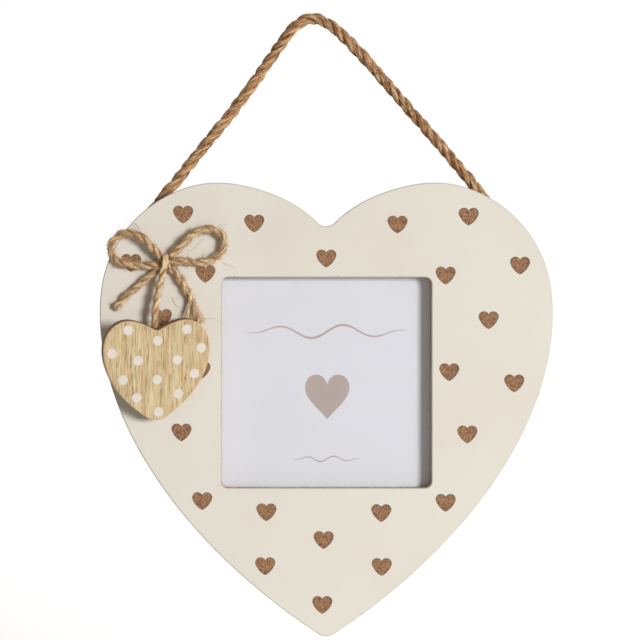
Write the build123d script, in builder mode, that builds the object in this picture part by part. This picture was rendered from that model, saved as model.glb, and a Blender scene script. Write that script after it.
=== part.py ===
from build123d import *
import os
from math import radians, tan

# A heart shaped photo frame that hangs from a jute rope over a nail. All lengths are millimetres.
# The front faces -Y and +Z is up. The wall is the plane y = 0, and the origin is the point
# where the nail's axis meets the wall. A depth is a distance from the wall towards the front.

# Heart panel
heart_width = 200.0
heart_height = 201.5
panel_thickness = 5.5
panel_x = 4.1
lobe_top_drop = 69.7
notch_radius = 5.2
tip_radius = 6.5
front_edge_chamfer = 0.4

# Right half of the heart, from the notch over the lobe to the tip, as shares of half the width
# and of the height above the tip
heart_outline_shares = [
    (0, 0.8915), (0.1585, 0.957), (0.321, 0.9885), (0.4915, 1), (0.7995, 0.940), (0.970, 0.817),
    (0.999, 0.694), (0.926, 0.520), (0.715, 0.327), (0.401, 0.152), (0, 0),
]

# Window
window_side = 93.0
window_rise_share = 0.5618
window_corner_radius = 3.0

# Laser etched hearts, each a shallow pocket. The paired ones stand on both sides of the middle,
# and the whole pattern is turned a little and shifted at the heart's tip.
etched_width = 8.8
etched_height = 7.85
etched_turn = 0.4
etched_tip_shift = -1.5
etch_depth = 0.3
small_lobe_shares = [(0, 0.84), (0.52, 1), (1, 0.66)]
small_side_shares = [(1, 0.66), (0.62, 0.27), (0, 0)]
etched_pair_shares = [
    (0.630, 0.9275), (0.316, 0.909), (0.858, 0.821), (0.530, 0.798), (0.721, 0.701),
    (0.549, 0.5865), (0.836, 0.563), (0.6305, 0.4505), (0.537, 0.3005), (0.2535, 0.277),
    (0.257, 0.159),
]
etched_middle_shares = [(0.003, 0.8335), (0, 0.217), (-0.004, 0.075)]

# Glass, photo and backing board, which fill the pocket between the rails
photo_side = 100.0
pocket_clearance = 0.5
glass_thickness = 2.0
photo_thickness = 0.5
backing_thickness = 3.0
backing_corner_radius = 1.5

# Rails glued to the back of the panel
rail_width = 8.0
rail_edge_chamfer = 0.4

# Turn buttons and their pan head screws
running_gap = 0.1
button_thickness = 0.9
button_pivot_radius = 4.2
button_tip_radius = 2.6
button_reach = 9.5
button_edge_chamfer = 0.2
shank_radius = 1.45
pivot_clearance = 0.06
screw_grip = 4.2
screw_hole_spare = 0.5
head_radius = 2.8
head_top_radius = 2.0
head_height = 1.5
head_dome_radius = 2.4
cross_width = 0.7
cross_length = 3.0
cross_depth = 0.8

# Hanging rope and the staples that hold its ends
rope_diameter = 5.0
seat_gap = 0.3
staple_wire = 0.9
staple_width = 1.2
staple_side_gap = 0.2
staple_leg = 4.0
staple_bend_radius = 0.6
staple_place_shares = [0.25, 0.8]

# Bow twine, its knot and the glue under it
twine_diameter = 3.2
glue_radius = 3.6
glue_height = 0.6
knot_x = -66.3
knot_z = -105.0
knot_wrap_width = 2.7
knot_wrap_height = 7.4
knot_wrap_depth = 6.4
knot_wrap_rounding = 1.25
knot_wrap_corner = 2.2
knot_wrap_pitch = 2.1
knot_wraps = 2

# Charm
charm_width = 47.2
charm_height = 44.0
charm_thickness = 4.8
charm_notch_radius = 2.5
charm_tip_radius = 8.3
charm_front_chamfer = 0.35
charm_yaw = 17.0
charm_pitch = 10.0
charm_roll = 1.6
charm_tip_x = -71.5
charm_tip_lift = 3.1
charm_tip_z = -173.1
charm_outline_shares = [
    (0, 0.894), (0.271, 0.967), (0.607, 0.999), (0.884, 0.906), (0.997, 0.70), (0.923, 0.496),
    (0.652, 0.245), (0.286, 0.065), (0, -0.054),
]
dot_diameter = 4.3
dot_thickness = 0.15
dot_place_shares = [
    (-0.545, 0.911), (0.554, 0.905), (0.010, 0.799), (0.828, 0.714), (-0.835, 0.683),
    (-0.356, 0.604), (0.379, 0.599), (0.707, 0.455), (-0.631, 0.416), (0.005, 0.407),
    (0.406, 0.257), (-0.373, 0.231), (0.036, 0.080),
]
strand_flex_radius = 2.2
strand_glue_radius = 4.0
strand_glue_height = 2.4
strand_glue_rise = 31.0
strand_glue_taper = 25.0

# Each cord's route, and how much of the shorter run beside a corner its arc takes. The rope lies
# in one plane, so its points are (x, z).
arc_share = 0.45
rope_route = [
    (-73.2, -99.0), (-71.5, -86.0), (-66.2, -73.0), (-50.1, -52.8), (-32.8, -31.5), (-15.5, -8.0),
    (-5.2, 4.2), (5.6, 4.2), (17.5, -9.5), (36.8, -31.4), (55.0, -52.6), (72.0, -73.0),
    (82.0, -85.5), (86.5, -96.0),
]
bow_left_route = [
    (-68.2, -17.8, -102.9), (-73.2, -18.3, -97.4), (-78.7, -18.2, -92.3), (-84.9, -17.4, -91.9),
    (-90.2, -16.6, -95.3), (-91.1, -16.2, -100.7), (-87.5, -16.0, -105.2), (-80.9, -16.0, -106.5),
    (-73.9, -16.2, -106.6), (-67.7, -16.3, -105.3), (-63.5, -16.2, -107.7), (-59.8, -15.8, -112.7),
    (-56.7, -15.6, -118.4), (-54.6, -15.5, -123.7), (-53.2, -15.5, -127.9), (-52.8, -15.5, -131.3),
]
bow_right_route = [
    (-63.9, -17.8, -102.4), (-59.4, -18.2, -97.7), (-54.8, -18.2, -93.0), (-50.2, -17.8, -90.5),
    (-45.4, -17.2, -90.3), (-41.9, -16.6, -92.5), (-40.3, -16.2, -96.7), (-42.2, -16.0, -101.2),
    (-46.4, -16.0, -104.4), (-52.3, -16.0, -105.4), (-58.5, -16.2, -104.2), (-64.2, -16.3, -104.6),
    (-68.8, -16.2, -106.8), (-73.0, -15.8, -110.3), (-77.9, -15.6, -114.7), (-82.9, -15.5, -118.8),
    (-86.8, -15.5, -122.5), (-88.3, -15.5, -124.9),
]
strand_route = [
    (-67.5, -19.5, -110.6), (-68.8, -19.6, -115.4), (-69.9, -19.7, -120.5), (-70.8, -19.9, -125.3),
    (-70.9, -20.0, -128.2),
]
strand_end_route = [(-70.9, -20.0, -128.2), (-71.1, -20.8, -133.5), (-71.2, -20.3, -143.3)]

# Sizes and depths that follow
pack_side = photo_side
pocket_side = photo_side + 2 * pocket_clearance
rail_thickness = glass_thickness + photo_thickness + backing_thickness
button_depth = head_height + running_gap
rail_depth = button_depth + button_thickness + running_gap
panel_depth = rail_depth + rail_thickness
front_depth = panel_depth + panel_thickness
tip_z = -lobe_top_drop - heart_height
window_z = tip_z + heart_height * window_rise_share
rope_radius = rope_diameter / 2
rope_depth = panel_depth - seat_gap - rope_radius
twine_radius = twine_diameter / 2


def facing_front(x, depth, z):
    """A plane at a depth from the wall, whose normal points to the front."""
    return Plane(origin=(x, -depth, z), x_dir=(1, 0, 0), z_dir=(0, -1, 0))


def scaled(shares, width, height):
    """Points given as shares of half a width and of a height, in millimetres."""
    return [(across * width / 2, up * height) for across, up in shares]


def heart_sketch(plane, shares, width, height):
    """A heart whose right half is a spline through the given shares, mirrored."""
    with BuildSketch(plane) as heart:
        with BuildLine():
            Spline(*scaled(shares, width, height))
            mirror(about=Plane.YZ)
        make_face()
    return heart.sketch


def arc_radii(route):
    """The arc at each corner of a cord: as large as its two runs allow."""
    points = [Vector(*point) for point in route]
    radii = []
    for before, corner, after in zip(points, points[1:], points[2:]):
        run_in, run_out = corner - before, after - corner
        half_turn = radians(run_in.get_angle(run_out)) / 2
        radii.append(arc_share * min(run_in.length, run_out.length) / tan(half_turn))
    return radii


def cord_tube(route, radius):
    """A cord: straight runs joined by tangent arcs, swept with a circle."""
    with BuildPart() as cord:
        with BuildLine():
            path = FilletPolyline(*route, radius=arc_radii(route))
        with BuildSketch(Plane(origin=path @ 0, z_dir=path % 0)):
            Circle(radius)
        sweep()
    return cord.part, path.length


def report_cord(name, route, part, length, radius):
    """Print a cord's arcs and compare its volume with its section times its length."""
    tube = Circle(radius, mode=Mode.PRIVATE).area * length
    radii = ", ".join(f"{value:.1f}" for value in arc_radii(route))
    print(f"{name}: length {length:.1f}, volume share {part.volume / tube:.4f}, radii {radii}")


def write(part, name):
    """Label a finished piece and write its file."""
    part.label = name
    export_step(part, f"parts/{name}.step")


os.makedirs("parts", exist_ok=True)

# One etched heart, each half made of an arc for its lobe and one for its side
with BuildSketch() as small_heart:
    with BuildLine():
        ThreePointArc(*scaled(small_lobe_shares, etched_width, etched_height))
        ThreePointArc(*scaled(small_side_shares, etched_width, etched_height))
        mirror(about=Plane.YZ)
    make_face()

# Heart panel: the outline, a rounded notch and tip, softened front edges and the window
with BuildPart() as front_panel:
    extrude(heart_sketch(facing_front(panel_x, panel_depth, tip_z), heart_outline_shares,
                         heart_width, heart_height), amount=panel_thickness)
    corner_edges = front_panel.edges().filter_by(Axis.Y)
    fillet(corner_edges.sort_by(Axis.Z)[0], tip_radius)
    corner_edges = front_panel.edges().filter_by(Axis.Y)
    fillet(corner_edges.sort_by_distance((panel_x, -panel_depth, -lobe_top_drop))[0], notch_radius)
    with BuildSketch(facing_front(panel_x, panel_depth, window_z)):
        RectangleRounded(window_side, window_side, window_corner_radius)
    extrude(amount=panel_thickness, mode=Mode.SUBTRACT)
    chamfer(front_panel.faces().sort_by(Axis.Y)[0].edges(), front_edge_chamfer)

    # Etched hearts
    etched_places = etched_middle_shares + etched_pair_shares
    etched_places += [(-across, up) for across, up in etched_pair_shares]
    etched_plane = Plane(
        origin=(panel_x + etched_tip_shift, -front_depth, tip_z - etched_height / 2),
        x_dir=Vector(1, 0, 0).rotate(Axis.Y, etched_turn), z_dir=(0, -1, 0),
    )
    with BuildSketch(etched_plane):
        with Locations(*scaled(etched_places, heart_width, heart_height)):
            add(small_heart.sketch)
    extrude(amount=-etch_depth, mode=Mode.SUBTRACT)

# Rails: the top and bottom ones run across the ends of the side ones
rail_middle = pocket_side / 2 + rail_width / 2
rail_places = {
    "top": (0, rail_middle), "bottom": (0, -rail_middle),
    "left": (-rail_middle, 0), "right": (rail_middle, 0),
}


def rail(name):
    """One rail of wood around the pocket, with a blind hole for its screw."""
    across, up = rail_places[name]
    lying = across == 0
    long_side = pocket_side + 2 * rail_width if lying else pocket_side
    width, height = (long_side, rail_width) if lying else (rail_width, long_side)
    back = facing_front(panel_x + across, rail_depth, window_z + up)
    with BuildPart() as strip:
        with BuildSketch(back):
            Rectangle(width, height)
        extrude(amount=rail_thickness)
        long_axis = Axis.X if lying else Axis.Z
        back_edges = strip.faces().sort_by(Axis.Y)[-1].edges().filter_by(long_axis)
        chamfer(back_edges, rail_edge_chamfer)
        with BuildSketch(back):
            Circle(shank_radius)
        extrude(amount=screw_grip + screw_hole_spare, mode=Mode.SUBTRACT)
    return strip.part


# Glass, photo and backing board
with BuildPart() as glass:
    with BuildSketch(facing_front(panel_x, panel_depth - glass_thickness, window_z)):
        Rectangle(pack_side, pack_side)
    extrude(amount=glass_thickness)

with BuildPart() as photo_insert:
    with BuildSketch(facing_front(panel_x, rail_depth + backing_thickness, window_z)):
        Rectangle(pack_side, pack_side)
    extrude(amount=photo_thickness)

with BuildPart() as backing_board:
    with BuildSketch(facing_front(panel_x, rail_depth, window_z)):
        RectangleRounded(pack_side, pack_side, backing_corner_radius)
    extrude(amount=backing_thickness)


def turn_button(name):
    """A steel tab on a rail's screw, turned so that its narrow end holds the backing board."""
    across, up = rail_places[name]
    inward_x, inward_z = -across / rail_middle, -up / rail_middle
    plane = Plane(
        origin=(panel_x + across, -button_depth, window_z + up),
        x_dir=(inward_x, 0, inward_z), z_dir=(0, -1, 0),
    )
    with BuildPart() as tab:
        with BuildSketch(plane):
            Circle(button_pivot_radius)
            with Locations((button_reach, 0)):
                Circle(button_tip_radius)
            make_hull()
        extrude(amount=button_thickness)
        outer_faces = tab.faces().sort_by(Axis.Y)
        chamfer(outer_faces[0].edges() + outer_faces[-1].edges(), button_edge_chamfer)
        with BuildSketch(plane):
            Circle(shank_radius + pivot_clearance)
        extrude(amount=button_thickness, mode=Mode.SUBTRACT)
    return tab.part


# A pan head screw: its profile turned about its axis, with the shank up, and a cross recess
shank_length = running_gap + button_thickness + running_gap + screw_grip
with BuildPart() as screw:
    with BuildSketch(Plane.XZ):
        with BuildLine():
            Polyline((0, shank_length), (shank_radius, shank_length), (shank_radius, 0),
                     (head_radius, 0))
            RadiusArc((head_radius, 0), (head_top_radius, -head_height), head_dome_radius)
            Polyline((head_top_radius, -head_height), (0, -head_height), (0, shank_length))
        make_face()
    revolve(axis=Axis.Z)
    with BuildSketch(Plane.XY.offset(-head_height)):
        Rectangle(cross_length, cross_width)
        Rectangle(cross_width, cross_length)
    extrude(amount=cross_depth, mode=Mode.SUBTRACT)

with BuildPart() as button_screws:
    with Locations(*[facing_front(panel_x + across, head_height, window_z + up)
                     for across, up in rail_places.values()]):
        add(screw.part)

# Rope, from one stapled end over the nail to the other
rope_points = [(x, -rope_depth, z) for x, z in rope_route]
rope_part, rope_length = cord_tube(rope_points, rope_radius)

# Staples: two over each end of the rope, square to it, with their legs in the panel
staple_inside = rope_diameter + 2 * staple_side_gap
crown_height = rope_radius + staple_side_gap
leg_reach = panel_depth - rope_depth + staple_leg


def staple_planes():
    """A plane across the rope at each staple, its y axis towards the wall."""
    planes = []
    for end, inner in ((rope_points[0], rope_points[1]), (rope_points[-1], rope_points[-2])):
        start, run = Vector(*end), Vector(*inner) - Vector(*end)
        along = run.normalized()
        across = Vector(along.Z, 0, -along.X)
        for share in staple_place_shares:
            planes.append(Plane(origin=start + run * share, x_dir=across, z_dir=along))
    return planes


with BuildPart() as staples:
    for plane in staple_planes():
        with BuildSketch(plane):
            with BuildLine():
                half = staple_inside / 2
                FilletPolyline((-half - staple_wire, -leg_reach),
                               (-half - staple_wire, crown_height + staple_wire),
                               (half + staple_wire, crown_height + staple_wire),
                               (half + staple_wire, -leg_reach), radius=staple_bend_radius)
                Polyline((half + staple_wire, -leg_reach), (half, -leg_reach),
                         (half, crown_height), (-half, crown_height), (-half, -leg_reach),
                         (-half - staple_wire, -leg_reach))
            make_face()
        extrude(amount=staple_width / 2, both=True)

# The staple legs' slots in the back of the panel
with front_panel:
    for plane in staple_planes():
        with BuildSketch(plane):
            with GridLocations(staple_inside + staple_wire, 0, 2, 1):
                Rectangle(staple_wire, leg_reach, align=(Align.CENTER, Align.MAX))
        extrude(amount=staple_width / 2, both=True, mode=Mode.SUBTRACT)

# Bow: two lengths of twine, each a loop and then a tail, and the wraps of the knot
bow_left_part, bow_left_length = cord_tube(bow_left_route, twine_radius)
bow_right_part, bow_right_length = cord_tube(bow_right_route, twine_radius)

with BuildPart() as bow_glue:
    with BuildSketch(facing_front(knot_x, front_depth, knot_z)):
        Circle(glue_radius)
    extrude(amount=glue_height)

with BuildPart() as knot_wrap:
    with BuildSketch(Plane.YZ):
        RectangleRounded(knot_wrap_depth, knot_wrap_height, knot_wrap_corner)
    extrude(amount=knot_wrap_width / 2, both=True)
    outer_faces = knot_wrap.faces().filter_by(Axis.X)
    fillet(outer_faces.edges(), knot_wrap_rounding)

with BuildPart() as bow_knot:
    with Locations((knot_x, -front_depth - glue_height - knot_wrap_depth / 2, knot_z)):
        with GridLocations(knot_wrap_pitch, 0, knot_wraps, 1):
            add(knot_wrap.part)

# Charm: a small heart that leans out at its top and left, so its own plane carries its pieces
charm_normal = Vector(0, -1, 0).rotate(Axis.X, charm_pitch).rotate(Axis.Z, charm_yaw)
charm_level = Vector(1, 0, 0).rotate(Axis.Z, charm_yaw)
charm_back = Plane(
    origin=(charm_tip_x, -front_depth - charm_tip_lift, charm_tip_z),
    x_dir=charm_level.rotate(Axis((0, 0, 0), charm_normal), charm_roll), z_dir=charm_normal,
)

with BuildPart() as charm:
    extrude(heart_sketch(charm_back, charm_outline_shares, charm_width, charm_height),
            amount=charm_thickness)
    side_edges = charm.edges().filter_by(Axis(charm_back.origin, charm_back.z_dir))
    fillet(side_edges.sort_by(Axis.Z)[0], charm_tip_radius)
    side_edges = charm.edges().filter_by(Axis(charm_back.origin, charm_back.z_dir))
    fillet(side_edges.sort_by(Axis.Z)[-1], charm_notch_radius)
    front_face = charm.faces().sort_by(Axis(charm_back.origin, charm_back.z_dir))[-1]
    chamfer(front_face.edges(), charm_front_chamfer)

with BuildPart() as charm_dots:
    with BuildSketch(charm_back.offset(charm_thickness)):
        with Locations(*scaled(dot_place_shares, charm_width, charm_height)):
            Circle(dot_diameter / 2)
    extrude(amount=dot_thickness)

# Twine that carries the charm. Its upper length swings at the knot and ends in a ball shape at
# both ends, and its lower length, glued to the charm, leaves room there for the bend.
strand_part, strand_length = cord_tube(strand_route, twine_radius)
with BuildPart() as charm_strand:
    add(strand_part)
    for x, y, z in (strand_route[0], strand_route[-1]):
        with Locations((x, y, z)):
            Sphere(twine_radius)

strand_end_part, strand_end_length = cord_tube(strand_end_route, twine_radius)
with BuildPart() as charm_strand_end:
    add(strand_end_part)
    with Locations(strand_route[-1]):
        Sphere(strand_flex_radius, mode=Mode.SUBTRACT)

with BuildPart() as charm_glue:
    with BuildSketch(charm_back):
        with Locations((0, strand_glue_rise)):
            Circle(strand_glue_radius)
    extrude(amount=-strand_glue_height, taper=strand_glue_taper)

write(front_panel.part, "front_panel")
for name in rail_places:
    write(rail(name), f"rail_{name}")
    write(turn_button(name), f"turn_button_{name}")
write(glass.part, "glass")
write(photo_insert.part, "photo_insert")
write(backing_board.part, "backing_board")
write(button_screws.part, "button_screws")
write(rope_part, "rope")
write(staples.part, "staples")
write(bow_left_part, "bow_twine_left")
write(bow_right_part, "bow_twine_right")
write(bow_knot.part, "bow_knot")
write(bow_glue.part, "bow_glue")
write(charm_strand.part, "charm_strand")
write(charm_strand_end.part, "charm_strand_end")
write(charm.part, "charm")
write(charm_dots.part, "charm_dots")
write(charm_glue.part, "charm_glue")

report_cord("rope", rope_points, rope_part, rope_length, rope_radius)
report_cord("bow_twine_left", bow_left_route, bow_left_part, bow_left_length, twine_radius)
report_cord("bow_twine_right", bow_right_route, bow_right_part, bow_right_length, twine_radius)
report_cord("charm_strand", strand_route, strand_part, strand_length, twine_radius)
report_cord("charm_strand_end", strand_end_route, strand_end_part, strand_end_length, twine_radius)
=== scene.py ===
# %% [markdown]
# # A heart shaped photo frame
# The frame hangs from a jute rope. Its board is painted cream and marked with small etched
# hearts, a square window shows a card behind glass, and a twine bow carries a wooden charm.
# The CAD part gives every size and place. This lesson adds the looks: twisted jute, paint,
# burnt edges, wood grain, glass, and the light that the photo was taken in.
# All lengths are metres. The front faces -Y, +Z is up, and the nail is at the origin.

# %% Load the frame
import math

import bpy
import numpy as np
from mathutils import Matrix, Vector
from mathutils.geometry import delaunay_2d_cdt


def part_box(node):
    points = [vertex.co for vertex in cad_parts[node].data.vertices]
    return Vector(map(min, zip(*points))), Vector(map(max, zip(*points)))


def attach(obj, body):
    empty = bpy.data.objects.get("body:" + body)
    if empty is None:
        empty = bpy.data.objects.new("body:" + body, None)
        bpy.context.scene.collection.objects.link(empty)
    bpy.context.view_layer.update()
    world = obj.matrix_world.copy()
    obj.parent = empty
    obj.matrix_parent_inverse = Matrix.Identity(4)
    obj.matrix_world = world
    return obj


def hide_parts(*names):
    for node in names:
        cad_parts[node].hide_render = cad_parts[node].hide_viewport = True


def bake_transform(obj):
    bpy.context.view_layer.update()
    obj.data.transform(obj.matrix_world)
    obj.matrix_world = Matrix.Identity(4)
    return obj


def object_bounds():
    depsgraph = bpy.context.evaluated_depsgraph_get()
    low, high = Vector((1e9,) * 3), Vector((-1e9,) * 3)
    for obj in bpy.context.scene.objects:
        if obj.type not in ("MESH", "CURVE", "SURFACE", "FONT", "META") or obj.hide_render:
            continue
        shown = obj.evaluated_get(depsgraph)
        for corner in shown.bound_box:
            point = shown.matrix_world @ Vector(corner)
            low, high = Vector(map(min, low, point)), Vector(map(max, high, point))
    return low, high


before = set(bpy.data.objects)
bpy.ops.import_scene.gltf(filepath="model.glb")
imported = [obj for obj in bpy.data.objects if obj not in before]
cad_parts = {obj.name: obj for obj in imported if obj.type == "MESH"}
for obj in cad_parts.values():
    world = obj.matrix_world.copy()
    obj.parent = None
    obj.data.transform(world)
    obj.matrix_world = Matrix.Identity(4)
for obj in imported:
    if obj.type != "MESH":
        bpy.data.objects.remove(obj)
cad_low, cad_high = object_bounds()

scene = bpy.context.scene
scene.view_settings.view_transform = "Standard"
board_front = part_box("front_panel")[0].y
print("CAD nodes:", len(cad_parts), "board front at y", round(board_front, 4))

# %% [markdown]
# ## Camera
# The photo looks straight at the board from about 0.8 m. The camera aims at the middle of the
# picture, which is a little above the window's middle. The lens follows from the width of the
# view at the board's front.

# %% Camera
view_distance = 0.8
view_width = 0.28237
view_middle = (0.00134, -0.13035)
sensor_width = 36.0

camera_data = bpy.data.cameras.new("photo_camera")
camera_data.sensor_width = sensor_width
camera_data.lens = sensor_width * view_distance / view_width
camera = bpy.data.objects.new("photo_camera", camera_data)
camera.location = (view_middle[0], board_front - view_distance, view_middle[1])
camera.rotation_euler = (math.radians(90), 0, 0)
scene.collection.objects.link(camera)
scene.camera = camera
print("lens", round(camera_data.lens, 1), "mm")

# %% [markdown]
# ## Cord lines
# The rope, the bow's two lengths of twine and the charm's strand each follow a route of a few
# points, the same points that the CAD part uses. A NURBS curve turns them into one smooth line.
# The curve is read once as points and then removed, because the twisted mesh replaces it.

# %% Routes of the cords
rope_route = [
    (-0.0732, -0.0053, -0.0990), (-0.0718, -0.0053, -0.0875), (-0.0762, -0.0053, -0.0846),
    (-0.0662, -0.0053, -0.0730), (-0.0501, -0.0053, -0.0528), (-0.0328, -0.0053, -0.0315),
    (-0.0166, -0.0053, -0.0080), (-0.0074, -0.0053, 0.0040), (0.0036, -0.0053, 0.0040),
    (0.0175, -0.0053, -0.0095),
    (0.0368, -0.0053, -0.0314), (0.0550, -0.0053, -0.0526), (0.0720, -0.0053, -0.0730),
    (0.0820, -0.0053, -0.0855), (0.0865, -0.0053, -0.0960),
]
bow_left_route = [
    (-0.0682, -0.0178, -0.1029), (-0.0732, -0.0183, -0.0974), (-0.0787, -0.0182, -0.0923),
    (-0.0849, -0.0174, -0.0919), (-0.0902, -0.0166, -0.0953), (-0.0911, -0.0162, -0.1007),
    (-0.0875, -0.0160, -0.1052), (-0.0809, -0.0160, -0.1065), (-0.0739, -0.0162, -0.1066),
    (-0.0677, -0.0163, -0.1053), (-0.0635, -0.0162, -0.1077), (-0.0598, -0.0158, -0.1127),
    (-0.0567, -0.0156, -0.1184), (-0.0546, -0.0155, -0.1237), (-0.0532, -0.0155, -0.1279),
    (-0.0528, -0.0155, -0.1313),
]
bow_right_route = [
    (-0.0639, -0.0178, -0.1024), (-0.0594, -0.0182, -0.0977), (-0.0548, -0.0182, -0.0930),
    (-0.0502, -0.0178, -0.0905), (-0.0454, -0.0172, -0.0903), (-0.0419, -0.0166, -0.0925),
    (-0.0403, -0.0162, -0.0967), (-0.0422, -0.0160, -0.1012), (-0.0464, -0.0160, -0.1044),
    (-0.0523, -0.0160, -0.1054), (-0.0585, -0.0162, -0.1042), (-0.0642, -0.0163, -0.1046),
    (-0.0688, -0.0162, -0.1068), (-0.0730, -0.0158, -0.1103), (-0.0779, -0.0156, -0.1147),
    (-0.0829, -0.0155, -0.1188), (-0.0868, -0.0155, -0.1225), (-0.0883, -0.0155, -0.1249),
]
strand_route = [
    (-0.0667, -0.0174, -0.1056), (-0.0672, -0.0186, -0.1080), (-0.0678, -0.0194, -0.1109),
    (-0.0688, -0.0196, -0.1154), (-0.0699, -0.0197, -0.1205), (-0.0708, -0.0199, -0.1253),
    (-0.0709, -0.0200, -0.1282), (-0.0711, -0.0208, -0.1335), (-0.0712, -0.0203, -0.1433),
]


def smooth_line(name, route, step):
    """Points at even steps along the NURBS curve through a route."""
    curve = bpy.data.curves.new(name, "CURVE")
    curve.dimensions = "3D"
    curve.resolution_u = 24
    spline = curve.splines.new("NURBS")
    spline.points.add(len(route) - 1)
    for point, place in zip(spline.points, route):
        point.co = (*place, 1)
    spline.order_u = 3
    spline.use_endpoint_u = True
    holder = bpy.data.objects.new(name, curve)
    line = bpy.data.meshes.new_from_object(holder)
    points = np.array([v.co for v in line.vertices], float)
    bpy.data.objects.remove(holder)
    bpy.data.meshes.remove(line)
    bpy.data.curves.remove(curve)
    run = np.append(0, np.cumsum(np.linalg.norm(np.diff(points, axis=0), axis=1)))
    places = np.linspace(0, run[-1], int(run[-1] / step) + 2)
    return np.stack([np.interp(places, run, points[:, axis]) for axis in range(3)], axis=1), run[-1]


rope_step, twine_step = 0.00045, 0.0003
rope_line, rope_length = smooth_line("rope_line", rope_route, rope_step)
bow_left_line, bow_left_length = smooth_line("bow_left_line", bow_left_route, twine_step)
bow_right_line, bow_right_length = smooth_line("bow_right_line", bow_right_route, twine_step)
strand_line, strand_length = smooth_line("strand_line", strand_route, twine_step)
print("rope", round(rope_length, 4), "bow", round(bow_left_length, 4), round(bow_right_length, 4),
      "strand", round(strand_length, 4))

# %% [markdown]
# ## Twisting plies together
# Jute rope is made of yarns, called plies, that wind round each other. Each ply is swept here
# as a tube on a spiral round the cord's line. The tube's own surface has low ridges, because
# a ply is a bundle of fibres that winds the other way. The UV map runs along those fibres, so
# that a streaky material can follow them. A bevelled curve would be quicker, but it gives a
# smooth pipe without plies.

# %% Helpers for twisted cord
# A ply's thickness and its ridges change over these lengths
swell_length, drift_length = 0.006, 0.005
ridge_waves, ridge_drift = (3, 5, 8), 1.6
# Plies lie this far apart on the UV map, so that no two show the same streaks
ply_offset = 7.3
# The closed tip of a ply: its height for the material, and its steps along the UV map
tip_raised, tip_step = 0.6, 0.0002


def unit(rows):
    """Rows of vectors scaled to length one."""
    return rows / np.maximum(np.linalg.norm(rows, axis=-1, keepdims=True), 1e-12)


def line_frames(points):
    """Directions along a line, and two directions square to it that turn as little as possible."""
    forward = unit(np.gradient(points, axis=0))
    side = np.cross(forward[0], (0.0, 1.0, 0.0))
    sides = []
    for direction in forward:
        side = unit(side - direction * np.dot(side, direction))
        sides.append(side)
    sides = np.array(sides)
    return forward, sides, np.cross(forward, sides)


def smoothstep(value):
    """0 below 0, 1 above 1, and a soft step between."""
    value = np.clip(value, 0, 1)
    return value * value * (3 - 2 * value)


def wander(rng, count, knots, spread):
    """A smooth random curve with the given number of knots and spread."""
    values = rng.normal(0, spread, knots + 3)
    places = np.linspace(0, knots, count)
    left = np.floor(places).astype(int)
    share = smoothstep(places - left)
    return values[left] * (1 - share) + values[left + 1] * share


class Ply:
    """One ply of a cord: its centre line, its surface points and the way its fibres run."""

    def __init__(self, line, spec, number, rng):
        forward, side, other = line_frames(line)
        count, sides = len(line), spec["sides"]
        self.run = np.append(0, np.cumsum(np.linalg.norm(np.diff(line, axis=0), axis=1)))
        total = self.run[-1]
        opening = spec["opening"](self.run, total) if "opening" in spec else np.ones(count)
        turn = spec["hand"] * 2 * math.pi * self.run / spec["lay"]
        turn = turn + 2 * math.pi * number / spec["plies"] + spec.get("start", 0)
        turn = turn + wander(rng, count, int(total / spec["lay"] * 1.5) + 2, spec["uneven"])
        out = (opening * np.cos(turn))[:, None] * side + np.sin(turn)[:, None] * other
        swell = wander(rng, count, int(total / swell_length) + 2, spec["thick_thin"])
        radius = spec["ply_radius"] * (1 + swell)
        centre = line + out * spec["spiral_radius"]
        self.forward = unit(np.gradient(centre, axis=0))
        first = unit(out - self.forward * np.sum(out * self.forward, axis=1)[:, None])
        second = np.cross(self.forward, first)
        fibre_turn = -spec["hand"] * 2 * math.pi * spec["spiral_radius"]
        fibre_turn /= spec["ply_radius"] * spec["lay"]
        self.fibre_turn = fibre_turn
        angle = np.linspace(-math.pi, math.pi, sides, endpoint=False)[None, :]
        follow = angle - fibre_turn * self.run[:, None]
        ridge = np.zeros((count, sides))
        for waves in ridge_waves:
            phase = wander(rng, count, int(total / drift_length) + 2, ridge_drift)[:, None]
            ridge += spec["ridge"] * np.cos(waves * follow + phase) * (1 - 0.06 * waves)
        reach = radius[:, None] * (1 + ridge)
        outward = (np.cos(angle)[..., None] * first[:, None]
                   + np.sin(angle)[..., None] * second[:, None])
        self.surface = centre[:, None] + outward * reach[..., None]
        self.centre, self.angle, self.sides = centre, angle, sides
        seam = np.append(angle[0], math.pi)[None]
        self.across = spec["ply_radius"] * (seam - fibre_turn * self.run[:, None])
        self.raised = np.linalg.norm(self.surface - line[:, None], axis=2) / spec["radius"]


def plies_of(line, spec, rng):
    """The plies of one cord, wound round each other."""
    return [Ply(line, spec, number, rng) for number in range(spec["plies"])]


def new_piece(name, points, faces, smooth=False):
    """An object with a mesh of the given points and faces, linked into the scene."""
    mesh = bpy.data.meshes.new(name)
    mesh.from_pydata([tuple(p) for p in points], [], faces)
    if smooth:
        mesh.polygons.foreach_set("use_smooth", [True] * len(mesh.polygons))
    piece = bpy.data.objects.new(name, mesh)
    scene.collection.objects.link(piece)
    return piece


def keep_values(piece, name, values):
    """Keeps a number for each point of a piece, which a material can read by its name."""
    kept = piece.data.attributes.new(name, "FLOAT", "POINT")
    kept.data.foreach_set("value", np.array(values, np.float32))


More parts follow.
